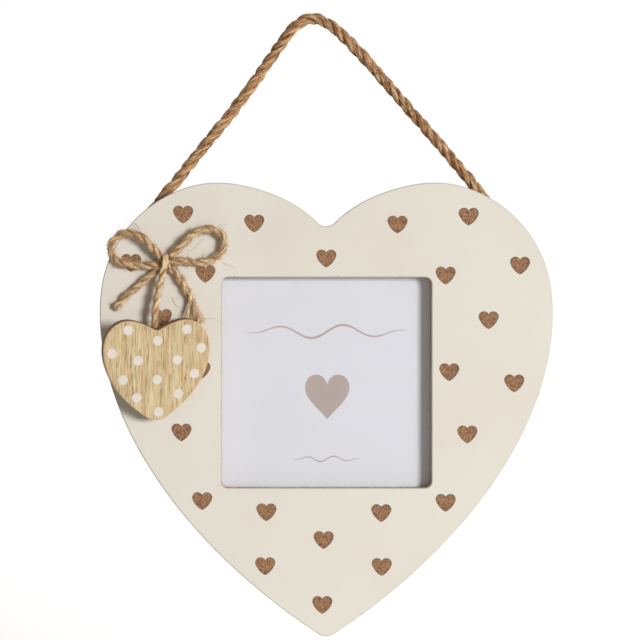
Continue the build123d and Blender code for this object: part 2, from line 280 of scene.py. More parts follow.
def cord_mesh(name, plies, cap_share=0.5):
    """One mesh of all plies with closed ends, a UV map along the fibres and the ply's height."""
    points, faces, places, raised = [], [], [], []
    for number, ply in enumerate(plies):
        rows, sides = ply.surface.shape[:2]
        base = len(points)
        run = ply.run + ply_offset * number
        points += list(ply.surface.reshape(-1, 3))
        raised += list(ply.raised.reshape(-1))
        for row in range(rows - 1):
            u, v = ply.across[row], ply.across[row + 1]
            low, high = run[row], run[row + 1]
            corner = base + row * sides
            for k in range(sides):
                n = (k + 1) % sides
                faces.append((corner + k, corner + n, corner + sides + n, corner + sides + k))
                places += [(u[k], low), (u[k + 1], low), (v[k + 1], high), (v[k], high)]
        for row, step in ((0, -1), (rows - 1, 1)):
            reach = np.linalg.norm(ply.surface[row, 0] - ply.centre[row])
            tip = len(points)
            points.append(ply.centre[row] + ply.forward[row] * reach * cap_share * step)
            raised.append(tip_raised)
            corner = base + row * sides
            for k in range(sides):
                n = (k + 1) % sides
                edge = (corner + n, corner + k) if step < 0 else (corner + k, corner + n)
                faces.append((*edge, tip))
                places += [(ply.across[row][k], run[row] + tip_step * j) for j in range(3)]
    piece = new_piece(name, points, faces, smooth=True)
    fibre_map = piece.data.uv_layers.new(name="fibre_map")
    fibre_map.uv.foreach_set("vector", np.array(places, np.float32).ravel())
    keep_values(piece, "raised", raised)
    return piece


# %% [markdown]
# ## Single fibres
# Jute is hairy. Some fibres lie along a ply and lift a little midway, others leave it and curl
# away. Each one is a very thin three sided tube with a tone of its own. They are kept as pieces
# of their own beside the cords. A hair system would be shorter to write, but it isn't a mesh
# that other programs can read.

# %% Helpers for single fibres
fibre_taper = 0.7
lying_points, stray_points = 7, 6
# How far a fibre's ends lie within the ply's surface
lying_depth, root_depth = 0.00003, 0.00008
# In turns round the ply: how far lying fibres stray on a metre, and how far from its outer
# side they may start
lying_slant, lying_sector = 25.0, 0.34


def fibre_mesh(name, lines, thickness, tones):
    """Thin three sided tubes along the given lines, each with a tone from 0, dark, to 1, pale."""
    points, faces, shades = [], [], []
    for line, width, tone in zip(lines, thickness, tones):
        shades += [tone] * (3 * len(line))
        _, side, other = line_frames(line)
        base = len(points)
        for row, place in enumerate(line):
            reach = width / 2 * (1 - fibre_taper * row / (len(line) - 1))
            for k in range(3):
                angle = 2 * math.pi * k / 3
                around = math.cos(angle) * side[row] + math.sin(angle) * other[row]
                points.append(place + reach * around)
        for row in range(len(line) - 1):
            corner = base + 3 * row
            for k in range(3):
                n = (k + 1) % 3
                faces.append((corner + k, corner + n, corner + 3 + n, corner + 3 + k))
        last = base + 3 * (len(line) - 1)
        faces += [(base + 2, base + 1, base), (last, last + 1, last + 2)]
    piece = new_piece(name, points, faces, smooth=True)
    keep_values(piece, "fibre_tone", shades)
    return piece


def lying_lines(plies, count, rng, shortest, longest, proud):
    """Lines of fibres that lie on the outer side of the plies and lift a little midway."""
    lines = []
    for _ in range(count):
        ply = plies[rng.integers(len(plies))]
        reach = int(rng.uniform(shortest, longest) / ply.run[1])
        first = rng.integers(0, max(len(ply.run) - reach, 1))
        last = min(first + reach, len(ply.run) - 1)
        rows = np.unique(np.linspace(first, last, lying_points).astype(int))
        away = ply.run[rows] - (ply.run[first] + ply.run[last]) / 2
        turned = ply.fibre_turn * away / (2 * math.pi) + rng.normal(0, lying_slant) * away
        around = ply.sides * (0.5 + rng.uniform(-lying_sector, lying_sector) + turned)
        low = np.floor(around).astype(int)
        part = (around - low)[:, None]
        line = (ply.surface[rows, low % ply.sides] * (1 - part)
                + ply.surface[rows, (low + 1) % ply.sides] * part)
        arch = np.sin(math.pi * np.linspace(0, 1, len(rows)))[:, None]
        lift = proud * rng.random() ** 2 * arch - lying_depth
        lines.append(line + unit(line - ply.centre[rows]) * lift)
    return lines


def stray_lines(plies, count, rng, shortest, longest, lift, keep):
    """Lines of fibres that leave the outer side of the plies, moved by keep to a free place."""
    lines = []
    for _ in range(count):
        ply = plies[rng.integers(len(plies))]
        row = rng.integers(2, len(ply.run) - 2)
        outer = np.flatnonzero(np.cos(ply.angle[0]) > 0.1)
        start = ply.surface[row, rng.choice(outer)]
        outward = unit(start - ply.centre[row])
        ahead = ply.forward[row] * rng.choice((-1, 1))
        curl = unit(np.cross(ahead, outward) * rng.normal(0, 1) + outward * rng.normal(0.2, 0.6))
        length = shortest + (longest - shortest) * rng.random() ** 2
        share = np.linspace(0, 1, stray_points)[:, None]
        bend = rng.uniform(0.2, 1.0)
        line = start - outward * root_depth + length * (
            share * (ahead * (1 - 0.5 * bend) + outward * lift * rng.uniform(0.3, 1))
            + share ** 2 * curl * bend * 0.8
        )
        lines.append(keep(line))
    return lines


def fibre_piece(name, groups, rng):
    """One mesh of groups of fibres. A group's look is its range of thickness, then of tone."""
    lines = [line for some, _ in groups for line in some]
    widths = [rng.uniform(thin, thick, len(some)) for some, (thin, thick, _, _) in groups]
    tones = [rng.uniform(dark, pale, len(some)) for some, (_, _, dark, pale) in groups]
    print(name, len(lines), "fibres")
    return fibre_mesh(name, lines, np.concatenate(widths), np.concatenate(tones))


# %% [markdown]
# ## Hanging rope
# The rope is 5 mm jute in three plies. It runs over a nail at its top, and both ends go behind
# the board, where staples hold them.

# %% Hanging rope
rope_diameter = 0.005
rope_spec = {
    "plies": 3, "radius": rope_diameter / 2, "ply_radius": 0.00136, "spiral_radius": 0.00110,
    "lay": 0.0182, "hand": 1, "sides": 20, "ridge": 0.038, "uneven": 0.28, "thick_thin": 0.07,
}
rope_rng = np.random.default_rng(11)
rope_plies = plies_of(rope_line, rope_spec, rope_rng)
rope = cord_mesh("hanging_rope", rope_plies)
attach(rope, "frame")
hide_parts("rope")
board_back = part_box("rail_top")[0].y
fibre_gap = 0.0002
rope_stray_look = (0.00006, 0.00013, 0.0, 1.0)
rope_lying_look = (0.00016, 0.00042, 0.0, 1.0)


def behind_board(line):
    """Keeps fibres of the rope between the wall and the back of the board."""
    line[:, 1] = np.clip(line[:, 1], board_back + fibre_gap, -fibre_gap)
    return line


rope_groups = [
    (stray_lines(rope_plies, 260, rope_rng, shortest=0.001, longest=0.0035, lift=0.3,
                 keep=behind_board), rope_stray_look),
    (lying_lines(rope_plies, 2200, rope_rng, shortest=0.003, longest=0.010, proud=0.0003),
     rope_lying_look),
]
rope_hair = fibre_piece("rope_fibres", rope_groups, rope_rng)
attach(rope_hair, "frame")
print("rope faces", len(rope.data.polygons))

# %% [markdown]
# ## Bow, knot and the charm's strand
# The twine is 3.2 mm jute in two plies. Each half of the bow is one length: a loop and then a
# tail. The tails are cut and open at their ends. The knot is two turns of the same twine round
# both halves. The strand that carries the charm starts inside the knot, which bulges forward a
# little to cover it.

# %% Bow twine
twine_diameter = 0.0032


def opened(reach, most):
    """How far the plies spread near a cut end, by the length that is left to it."""
    return lambda run, total: 1 + (most - 1) * smoothstep(1 - (total - run) / reach)


twine_spec = {
    "plies": 2, "radius": twine_diameter / 2, "ply_radius": 0.00097, "spiral_radius": 0.00054,
    "lay": 0.0115, "hand": 1, "sides": 16, "ridge": 0.045, "uneven": 0.18, "thick_thin": 0.06,
}
left_spec = twine_spec | {"opening": opened(0.014, 1.25)}
right_spec = twine_spec | {"opening": opened(0.008, 1.4), "start": 1.0}
bow_rng = np.random.default_rng(23)
left_plies = plies_of(bow_left_line, left_spec, bow_rng)
right_plies = plies_of(bow_right_line, right_spec, bow_rng)
bow_left = cord_mesh("bow_left_twine", left_plies)
bow_right = cord_mesh("bow_right_twine", right_plies)
for piece, node, line, length in (
    (bow_left, "bow_twine_left", bow_left_line, bow_left_length),
    (bow_right, "bow_twine_right", bow_right_line, bow_right_length),
):
    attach(piece, "frame")
    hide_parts(node)
print("bow faces", len(bow_left.data.polygons), len(bow_right.data.polygons))

# %% Strand that carries the charm
strand_rng = np.random.default_rng(31)
strand_spec = twine_spec | {"start": 0.6}
strand_plies = plies_of(strand_line, strand_spec, strand_rng)
strand = cord_mesh("charm_twine", strand_plies)
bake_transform(strand)
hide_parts("charm_strand", "charm_strand_end")

# %% Knot: two turns of twine round the bow
knot_low, knot_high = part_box("bow_knot")
knot_middle = (knot_low + knot_high) / 2
knot_size = knot_high - knot_low
wrap_radius = 0.0013
wrap_turns = 2.06
knot_proud = 0.0004
turns = np.linspace(0, wrap_turns, 150)
swing = 2 * math.pi * turns - math.pi / 2


def rounded(value, power=0.72):
    """A sine or cosine pushed outwards, so that the turn is a rounded square."""
    return np.sign(value) * np.abs(value) ** power


wrap_line = np.stack([
    knot_middle.x + (knot_size.x - 2 * wrap_radius) * (turns / wrap_turns - 0.5),
    knot_middle.y - (knot_size.y / 2 - wrap_radius) * rounded(np.sin(swing))
    - knot_proud * np.clip(np.sin(swing), 0, 1),
    knot_middle.z + (knot_size.z / 2 - wrap_radius) * rounded(np.cos(swing)),
], axis=1)
knot_spec = twine_spec | {
    "ply_radius": 0.00086, "spiral_radius": 0.00046, "lay": 0.024, "radius": wrap_radius,
}
knot_rng = np.random.default_rng(41)
knot_plies = plies_of(wrap_line, knot_spec, knot_rng)
knot = cord_mesh("twine_knot", knot_plies, cap_share=0.2)
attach(knot, "frame")
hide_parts("bow_knot")
print("knot turns", wrap_turns, "size", [round(x, 4) for x in knot_size])

# %% Fibres of the twine
board_gap, hair_gap = 0.00005, 0.00015
stray_look = (0.00009, 0.00017, 0.1, 0.7)
loose_look = (0.00013, 0.00018, 0.0, 0.1)
lying_look = (0.00012, 0.00032, 0.0, 1.0)
knot_look = (0.00012, 0.00030, 0.0, 1.0)
left_end_look = (0.00014, 0.00032, 0.3, 1.0)
right_end_look = (0.00014, 0.00032, 0.1, 1.0)


def before_board(line):
    """Keeps fibres of the bow in front of the board."""
    line[:, 1] = np.minimum(line[:, 1], board_front - board_gap)
    return line


def frayed_end(plies, count, rng, reach, back):
    """Fibres that leave the plies within some distance of the cut end and fan out past it."""
    lines = []
    for _ in range(count):
        ply = plies[rng.integers(len(plies))]
        row = np.searchsorted(ply.run, ply.run[-1] - back * rng.random()) - 1
        left = ply.run[-1] - ply.run[row]
        start = ply.surface[row, rng.integers(ply.sides)]
        inset = rng.uniform(0, 0.9)
        start = start * (1 - inset) + ply.centre[row] * inset
        fan = unit(ply.forward[-1] + rng.normal(0, 0.05, 3) + 0.04 * unit(start - ply.centre[row]))
        share = np.linspace(0, 1, stray_points)[:, None]
        length = left + reach * rng.uniform(0.3, 1)
        curl = rng.normal(0, 0.04, 3)
        lines.append(before_board(start + length * (share * fan + share ** 2 * curl)))
    return lines


def loose_hair(places):
    """A single long fibre that lies on the board through the given places (x, z)."""
    route = [(x, board_front - hair_gap, z) for x, z in places]
    return smooth_line("loose_hair", route, step=0.0006)[0]


loose_hairs = [loose_hair(places) for places in (
    [(-0.0569, -0.1001), (-0.0548, -0.0992), (-0.0529, -0.0976), (-0.0511, -0.0954),
     (-0.0496, -0.0933)],
    [(-0.0513, -0.1040), (-0.0500, -0.1018), (-0.0506, -0.1000), (-0.0489, -0.0990)],
    [(-0.0804, -0.0877), (-0.0785, -0.0895), (-0.0774, -0.0925), (-0.0779, -0.0950)],
    [(-0.0826, -0.0865), (-0.0806, -0.0886), (-0.0797, -0.0912)],
    [(-0.0639, -0.1205), (-0.0628, -0.1237), (-0.0606, -0.1252), (-0.0582, -0.1246)],
    [(-0.0510, -0.1314), (-0.0489, -0.1292), (-0.0456, -0.1300), (-0.0423, -0.1312)],
    [(-0.0415, -0.1050), (-0.0396, -0.1066), (-0.0374, -0.1060), (-0.0365, -0.1076)],
    [(-0.0440, -0.0895), (-0.0418, -0.0872), (-0.0396, -0.0884)],
)]

bow_plies = left_plies + right_plies
bow_groups = [
    (stray_lines(bow_plies, 3300, bow_rng, shortest=0.0008, longest=0.0030, lift=0.7,
                 keep=before_board), stray_look),
    (stray_lines(bow_plies, 260, bow_rng, shortest=0.003, longest=0.0070, lift=0.4,
                 keep=before_board), stray_look),
    (loose_hairs, loose_look),
    (lying_lines(bow_plies, 1900, bow_rng, shortest=0.002, longest=0.008, proud=0.0006), lying_look),
    (lying_lines(knot_plies, 120, bow_rng, shortest=0.002, longest=0.006, proud=0.0003), knot_look),
    (frayed_end(left_plies, 200, bow_rng, reach=0.0016, back=0.012), left_end_look),
    (frayed_end(right_plies, 150, bow_rng, reach=0.0014, back=0.002), right_end_look),
]
bow_hair = fibre_piece("bow_fibres", bow_groups, bow_rng)
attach(bow_hair, "frame")
below_knot = strand_route[2][2]


def free_of_knot(lines):
    """Only the fibres below the knot, so that none brushes the bow when the charm swings."""
    return [line for line in lines if max(line[:, 2]) < below_knot]


strand_strays = stray_lines(strand_plies, 380, strand_rng, shortest=0.0008, longest=0.0030,
                            lift=0.5, keep=before_board)
strand_lying = lying_lines(strand_plies, 340, strand_rng, shortest=0.002, longest=0.007,
                           proud=0.0005)
strand_groups = [(free_of_knot(strand_strays), stray_look), (free_of_knot(strand_lying), lying_look)]
strand_hair = fibre_piece("charm_twine_fibres", strand_groups, strand_rng)
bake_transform(strand_hair)

# %% [markdown]
# ## Material tools
# Every material here is made of nodes, so that it works at any distance and needs no picture.
# Effects that several materials share, such as fibre streaks, mottling, specks, wood grain and
# burnt rims with painted shade in their corners, are node groups. A group puts out masks and
# values, and each material decides what colour or bump to make of them.

# %% Helpers for nodes


def colour(red, green, blue):
    """A colour given as it looks on screen, from 0 to 255, turned into linear light."""
    parts = []
    for value in (red, green, blue):
        share = value / 255
        parts.append(share / 12.92 if share <= 0.04045 else ((share + 0.055) / 1.055) ** 2.4)
    return (*parts, 1.0)


class Nodes:
    """Short ways to add and join nodes in one node tree."""

    def __init__(self, tree):
        self.tree = tree

    def add(self, kind, settings=None, **inputs):
        node = self.tree.nodes.new(kind)
        for name, value in (settings or {}).items():
            setattr(node, name, value)
        for name, value in inputs.items():
            self.put(node.inputs[name.replace("_", " ")], value)
        return node

    def put(self, socket, value):
        if isinstance(value, bpy.types.NodeSocket):
            self.tree.links.new(value, socket)
        else:
            socket.default_value = value

    def join(self, kind, settings, *values):
        """A node whose first inputs take the values in order. Returns its first output."""
        node = self.add(kind, settings)
        for socket, value in zip(node.inputs, values):
            self.put(socket, value)
        return node.outputs[0]

    def math(self, operation, *values):
        return self.join("ShaderNodeMath", {"operation": operation}, *values)

    def ramp(self, value, low, high):
        """0 below low, 1 above high, smooth between."""
        node = self.tree.nodes.new("ShaderNodeMapRange")
        node.interpolation_type = "SMOOTHSTEP"
        self.put(node.inputs["Value"], value)
        node.inputs["From Min"].default_value = low
        node.inputs["From Max"].default_value = high
        return node.outputs["Result"]

    def noise(self, place, scale, detail=2.0, roughness=0.5, distortion=0.0, seed=0.0):
        node = self.add("ShaderNodeTexNoise", {"noise_dimensions": "4D"}, Vector=place, W=seed,
                        Scale=scale, Detail=detail, Roughness=roughness, Distortion=distortion)
        return node.outputs["Fac"]

    def stretch(self, place, x, y, z):
        return self.join("ShaderNodeVectorMath", {"operation": "MULTIPLY"}, place, (x, y, z))

    def mix(self, share, first, second, blend="MIX"):
        node = self.tree.nodes.new("ShaderNodeMix")
        node.data_type = "RGBA"
        node.blend_type = blend
        self.put(node.inputs["Factor"], share)
        self.put(node.inputs["A"], first)
        self.put(node.inputs["B"], second)
        return node.outputs["Result"]

    def bump(self, height, strength, distance):
        node = self.add("ShaderNodeBump", Height=height, Strength=strength, Distance=distance)
        return node.outputs["Normal"]

    def place(self):
        """The point's place in the part, in metres."""
        return self.add("ShaderNodeTexCoord").outputs["Object"]

    def group(self, effect, **inputs):
        node = self.tree.nodes.new("ShaderNodeGroup")
        node.node_tree = effect
        for name, value in inputs.items():
            self.put(node.inputs[name.replace("_", " ")], value)
        return node.outputs

    def between(self, value, low, high, first, second):
        """The first colour as far as the value low, the second from the value high on."""
        return self.mix(self.ramp(value, low, high), first, second)

    def stain(self, tone, mask, share, stain):
        """A tone with a stain on it where the mask is, as strong as the share says."""
        return self.mix(self.math("MULTIPLY", mask, share), tone, stain)

    def separate(self, place):
        return self.add("ShaderNodeSeparateXYZ", Vector=place).outputs

    def combine(self, x, y, z=0.0):
        return self.add("ShaderNodeCombineXYZ", X=x, Y=y, Z=z).outputs[0]

    def mix_shader(self, share, first, second):
        return self.join("ShaderNodeMixShader", None, share, first, second)

    def seen(self):
        """1 for a ray from the camera, or one that reaches it by a gloss or through glass."""
        ray = self.add("ShaderNodeLightPath").outputs
        by_way = self.math("MAXIMUM", ray["Is Glossy Ray"], ray["Is Transmission Ray"])
        return self.math("MAXIMUM", ray["Is Camera Ray"], by_way)

    def dress(self, shader, tone, roughness, *bump):
        """A shader's colour, its roughness, and its bump as height, strength and distance."""
        self.put(shader["Base Color"], tone)
        self.put(shader["Roughness"], roughness)
        if bump:
            self.put(shader["Normal"], self.bump(*bump))


def new_effect(name, inputs, outputs):
    """A node group with named inputs and outputs. Returns the group, its helper and its ends."""
    effect = bpy.data.node_groups.new(name, "ShaderNodeTree")
    for label, kind, value in inputs:
        socket = effect.interface.new_socket(label, in_out="INPUT", socket_type=kind)
        if value is not None:
            socket.default_value = value
    for label, kind in outputs:
        effect.interface.new_socket(label, in_out="OUTPUT", socket_type=kind)
    nodes = Nodes(effect)
    return effect, nodes, nodes.add("NodeGroupInput").outputs, nodes.add("NodeGroupOutput").inputs


def new_material(name):
    """A material with one Principled shader. Returns it, its helper and the shader's inputs."""
    material = bpy.data.materials.new(name)
    material.use_nodes = True
    nodes = Nodes(material.node_tree)
    return material, nodes, material.node_tree.nodes["Principled BSDF"].inputs


FLOAT, VECTOR = "NodeSocketFloat", "NodeSocketVector"

# %% Effect: fibre streaks
streaks, nodes, given, made = new_effect(
    "fibre_streaks",
    [("Place", VECTOR, None), ("Across", FLOAT, 0.0003), ("Along", FLOAT, 0.006), ("Seed", FLOAT, 0.0)],
    [("Broad", FLOAT), ("Fine", FLOAT), ("Straw", FLOAT)],
)
split = nodes.separate(given["Place"])
across = nodes.math("DIVIDE", split["X"], given["Across"])
lengthways = nodes.math("DIVIDE", split["Y"], given["Along"])
laid = nodes.combine(across, lengthways)
nodes.put(made["Broad"], nodes.noise(laid, 0.6, 2.0, 0.5, 0.2, given["Seed"]))
nodes.put(made["Fine"], nodes.noise(laid, 1.2, 2.0, 0.6, 0.1, given["Seed"]))
rare = nodes.noise(laid, 0.8, 1.0, 0.4, 0.0, nodes.math("ADD", given["Seed"], 5.0))
nodes.put(made["Straw"], nodes.ramp(rare, 0.58, 0.72))

# %% Effect: mottling and specks
mottle, nodes, given, made = new_effect(
    "mottle", [("Place", VECTOR, None), ("Size", FLOAT, 0.03), ("Seed", FLOAT, 0.0)],
    [("Cloud", FLOAT), ("Grain", FLOAT)],
)
scaled_place = nodes.tree.nodes.new("ShaderNodeVectorMath")
scaled_place.operation = "SCALE"
nodes.put(scaled_place.inputs[0], given["Place"])
nodes.put(scaled_place.inputs["Scale"], nodes.math("DIVIDE", 1.0, given["Size"]))
cloud_place = scaled_place.outputs[0]
nodes.put(made["Cloud"], nodes.noise(cloud_place, 1.0, 3.0, 0.5, 0.3, given["Seed"]))
nodes.put(made["Grain"], nodes.noise(cloud_place, 14.0, 3.0, 0.6, 0.0, given["Seed"]))

specks, nodes, given, made = new_effect(
    "specks", [("Place", VECTOR, None), ("Spacing", FLOAT, 0.01), ("Share", FLOAT, 0.03)],
    [("Mask", FLOAT)],
)
cells = nodes.add("ShaderNodeTexVoronoi", Vector=given["Place"],
                  Scale=nodes.math("DIVIDE", 1.0, given["Spacing"]), Randomness=1.0)
chance = nodes.add("ShaderNodeSeparateColor", Color=cells.outputs["Color"]).outputs["Red"]
size_share = nodes.math("MULTIPLY", given["Share"], chance)
near = nodes.math("DIVIDE", cells.outputs["Distance"], nodes.math("MAXIMUM", size_share, 0.001))
nodes.put(made["Mask"], nodes.math("SUBTRACT", 1.0, nodes.ramp(near, 0.6, 1.0)))

# %% Effect: wood grain
grain, nodes, given, made = new_effect(
    "wood_grain",
    [("Place", VECTOR, None), ("Seed", FLOAT, 0.0)],
    [("Bands", FLOAT), ("Streaks", FLOAT), ("Pores", FLOAT), ("Height", FLOAT)],
)


def along_grain(flow, scale, detail, seed_step=0.0):
    """Noise drawn out along the grain, the more the smaller its flow is."""
    place = nodes.stretch(given["Place"], 1.0, 1.0, flow)
    seed = nodes.math("ADD", given["Seed"], seed_step)
    return nodes.noise(place, scale, detail, 0.5, 0.0, seed)


bands = along_grain(0.018, 420.0, 2.0)
thin = along_grain(0.012, 2300.0, 1.0)
dashes = along_grain(0.03, 2600.0, 1.0, 3.0)
gathered = nodes.ramp(along_grain(0.20, 1100.0, 2.0, 9.0), 0.42, 0.52)
columns = nodes.ramp(along_grain(0.02, 420.0, 1.0, 12.0), 0.46, 0.58)
pores = nodes.math("MULTIPLY", nodes.ramp(dashes, 0.53, 0.61), gathered)
pores = nodes.math("MULTIPLY", pores, nodes.math("MULTIPLY_ADD", columns, 0.65, 0.35))
nodes.put(made["Bands"], bands)
nodes.put(made["Streaks"], thin)
nodes.put(made["Pores"], pores)
nodes.put(made["Height"], nodes.math("SUBTRACT", nodes.math("MULTIPLY", thin, 0.4), pores))

# %% Effect: burnt rim and painted shade in corners
rim_shade_effect, nodes, given, made = new_effect(
    "burnt_rim_and_painted_shade", [("Reach", FLOAT, 0.0004), ("Place", VECTOR, None)], [("Mask", FLOAT)],
)
# Painted shade: ambient occlusion darkens a surface next to walls, where shade falls, and a noise makes
# its edge ragged like a burnt rim
corner = nodes.add("ShaderNodeAmbientOcclusion", {"samples": 8, "only_local": True})
nodes.put(corner.inputs["Distance"], given["Reach"])
uneven = nodes.noise(given["Place"], 1400.0, 2.0, 0.5)
closed = nodes.math("SUBTRACT", 1.0, corner.outputs["AO"])
ragged = nodes.math("ADD", closed, nodes.math("MULTIPLY", uneven, 0.12))
nodes.put(made["Mask"], nodes.ramp(ragged, 0.12, 0.36))
print("effects:", [g.name for g in bpy.data.node_groups])

# %% [markdown]
# ## Jute
# A jute fibre is pale straw on its lit side and brown between the fibres. The streaks follow
# the UV map along the fibres. The height of a ply, kept as a mesh attribute, darkens the gaps
# with painted shade and some dirt.

# %% Jute materials


def jute(name, dark, middle, light, straw, seed):
    """Jute cord: streaks of three tones along the fibres, single pale straws, painted shade and some
    dirt in the gaps.
    """
    material, nodes, shader = new_material(name)
    place = nodes.add("ShaderNodeUVMap", {"uv_map": "fibre_map"}).outputs["UV"]
    fibres = nodes.group(streaks, Place=place, Across=0.0004, Along=0.0035, Seed=seed)
    tone = nodes.between(fibres["Broad"], 0.36, 0.56, dark, middle)
    tone = nodes.between(fibres["Fine"], 0.44, 0.64, tone, light)
    tone = nodes.stain(tone, fibres["Straw"], 0.75, straw)
    # Painted shade with some dirt: where a ply lies low, in the gaps between plies, its tone is
    # multiplied darker
    shaded = nodes.mix(1.0, tone, colour(172, 136, 100), "MULTIPLY")
    raised = nodes.add("ShaderNodeAttribute", {"attribute_name": "raised"}).outputs["Fac"]
    roughness = nodes.math("MULTIPLY_ADD", fibres["Straw"], -0.22, 0.72)
    height = nodes.math("ADD", fibres["Fine"], nodes.math("MULTIPLY", fibres["Broad"], 0.6))
    nodes.dress(shader, nodes.between(raised, 0.62, 0.92, shaded, tone), roughness,
                height, 0.9, 0.00022)
    return material


def jute_hair(name, dark, middle, pale):
    """Single fibres, each with a tone of its own from dark to pale."""
    material, nodes, shader = new_material(name)
    tone = nodes.add("ShaderNodeAttribute", {"attribute_name": "fibre_tone"}).outputs["Fac"]
    clouds = nodes.group(mottle, Place=nodes.place(), Size=0.002, Seed=3.0)
    tone = nodes.math("MULTIPLY_ADD", clouds["Cloud"], 0.4, nodes.math("SUBTRACT", tone, 0.2))
    shade = nodes.between(tone, 0.0, 0.5, dark, middle)
    nodes.dress(shader, nodes.between(tone, 0.5, 1.0, shade, pale), 0.6)
    return material


rope_jute = jute("rope_jute", dark=colour(92, 56, 30), middle=colour(174, 124, 80),
                 light=colour(222, 176, 124), straw=colour(248, 220, 176), seed=2.0)
twine_jute = jute("twine_jute", dark=colour(146, 104, 64), middle=colour(228, 188, 138),
                  light=colour(252, 229, 186), straw=colour(253, 244, 218), seed=8.0)
rope_hairs = jute_hair("rope_hairs", dark=colour(96, 58, 30), middle=colour(182, 132, 88),
                       pale=colour(244, 210, 160))
twine_hairs = jute_hair("twine_hairs", dark=colour(132, 92, 54), middle=colour(226, 186, 136),
                        pale=colour(253, 242, 212))
jute_pieces = [
    (rope, rope_jute), (rope_hair, rope_hairs), (bow_left, twine_jute), (bow_right, twine_jute),
    (strand, twine_jute), (knot, twine_jute), (bow_hair, twine_hairs), (strand_hair, twine_hairs),
]
for piece, material in jute_pieces:
    piece.data.materials.append(material)
print("jute on", len(jute_pieces), "pieces")

# %% [markdown]
# ## Heart board
# The board is fibreboard, painted cream before the laser cut it. The laser left brown edges and
# burnt the small hearts through the paint. The CAD mesh stays as it is: each face gets one of
# six materials by the way it faces and how deep it lies.

# %% Board materials
cream_paint, nodes, shader = new_material("cream_paint")
place = nodes.place()
clouds = nodes.group(mottle, Place=place, Size=0.045, Seed=1.0)
paint = nodes.between(clouds["Cloud"], 0.3, 0.7, colour(225, 218, 205), colour(229, 223, 211))
dust = nodes.group(specks, Place=place, Spacing=0.0125, Share=0.022)["Mask"]
paint = nodes.stain(paint, dust, 0.35, colour(150, 128, 100))
roughness = nodes.math("MULTIPLY_ADD", clouds["Grain"], 0.12, 0.56)
nodes.dress(shader, paint, roughness, nodes.noise(place, 1500.0, 2.0, 0.5), 0.35, 0.00006)
shader["Specular IOR Level"].default_value = 0.25

cut_rim, nodes, shader = new_material("cut_rim")
worn = nodes.noise(nodes.place(), 420.0, 3.0, 0.6)
tone = nodes.between(worn, 0.62, 0.72, colour(206, 197, 180), colour(132, 104, 74))
nodes.dress(shader, tone, 0.6)


def burnt_wood(name, burnt, bare, seed):
    """A laser cut edge: fine stripes from front to back, brown to nearly bare."""
    material, nodes, shader = new_material(name)
    place = nodes.place()
    stripes = nodes.noise(nodes.stretch(place, 1.0, 0.10, 1.0), 1900.0, 2.0, 0.6, 0.0, seed)
    patches = nodes.noise(nodes.stretch(place, 1.0, 0.5, 1.0), 160.0, 2.0, 0.5, 0.0, seed)
    share = nodes.math("ADD", nodes.math("MULTIPLY", stripes, 0.6), nodes.math("MULTIPLY", patches, 0.4))
    tone = nodes.between(share, 0.38, 0.62, burnt, bare)
    nodes.dress(shader, tone, 0.7, stripes, 0.5, 0.00008)
    return material


board_edge = burnt_wood("board_edge", colour(112, 84, 54), colour(172, 142, 100), 4.0)
window_edge = burnt_wood("window_edge", colour(160, 130, 94), colour(214, 198, 168), 6.0)

etched_board, nodes, shader = new_material("etched_board")
place = nodes.place()
fibre_marks = nodes.noise(place, 1700.0, 3.0, 0.65, 0.7)
pale_marks = nodes.noise(place, 1900.0, 2.0, 0.6, 0.8, 6.0)
tone = nodes.between(fibre_marks, 0.38, 0.60, colour(96, 60, 37), colour(173, 130, 93))
tone = nodes.between(pale_marks, 0.58, 0.70, tone, colour(196, 154, 116))
# Painted shade with some char: the etched floor next to each heart's walls is darkened by the occlusion
# rim mask
rim = nodes.group(rim_shade_effect, Place=place, Reach=0.0006)["Mask"]
tone = nodes.stain(tone, rim, 0.8, colour(100, 68, 46))
nodes.dress(shader, tone, 0.85, fibre_marks, 0.8, 0.00012)

board_back_face, nodes, shader = new_material("bare_fibreboard")
place = nodes.place()
clouds = nodes.group(mottle, Place=place, Size=0.03, Seed=7.0)
felt = nodes.noise(place, 1100.0, 4.0, 0.7, 1.0)
tone = nodes.between(clouds["Cloud"], 0.3, 0.7, colour(172, 136, 98), colour(186, 152, 114))
tone = nodes.between(felt, 0.56, 0.72, tone, colour(140, 104, 70))
tone = nodes.between(felt, 0.40, 0.28, tone, colour(210, 182, 146))
nodes.dress(shader, tone, 0.8, felt, 0.4, 0.00008)

# %% Materials on the board's faces
surface_limit, etch_limit = 0.00001, 0.00031
window_middle = sum(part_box("glass"), Vector()) / 2
window_reach = 0.0470


def give_finishes(node_name, looks, finish):
    """Gives each face of a CAD mesh the one of several looks that finish names for it."""
    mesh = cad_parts[node_name].data
    mesh.materials.clear()
    for material in looks.values():
        mesh.materials.append(material)
    names = list(looks)
    chosen = [finish(face) for face in mesh.polygons]
    mesh.polygons.foreach_set("material_index", [names.index(name) for name in chosen])
    mesh.update()
    print(node_name, "faces:", {name: chosen.count(name) for name in names})


def board_finish(face):
    """Which of the board's looks a face gets, by the way it faces and how deep it lies."""
    forward = -face.normal.y
    depth = face.center.y - board_front
    if forward < -0.9:
        return "back"
    if depth < surface_limit:
        return "paint"
    if depth < etch_limit and (forward > 0.99 or abs(forward) < 0.1):
        return "etched"
    if forward > 0.2:
        return "rim"
    from_middle = face.center - window_middle
    return "window" if max(abs(from_middle.x), abs(from_middle.z)) < window_reach else "edge"


board_looks = {
    "paint": cream_paint, "rim": cut_rim, "edge": board_edge, "etched": etched_board,
    "back": board_back_face, "window": window_edge,
}
give_finishes("front_panel", board_looks, board_finish)

# %% [markdown]
# ## Charm
# The charm is pale bare wood with its grain upright, cut by the laser too, so its sides are
# brown. It leans, so its grain is drawn out from front to back as well: a leaning face would
# otherwise cut the grain into short dashes. The white dots are printed and a little uneven.

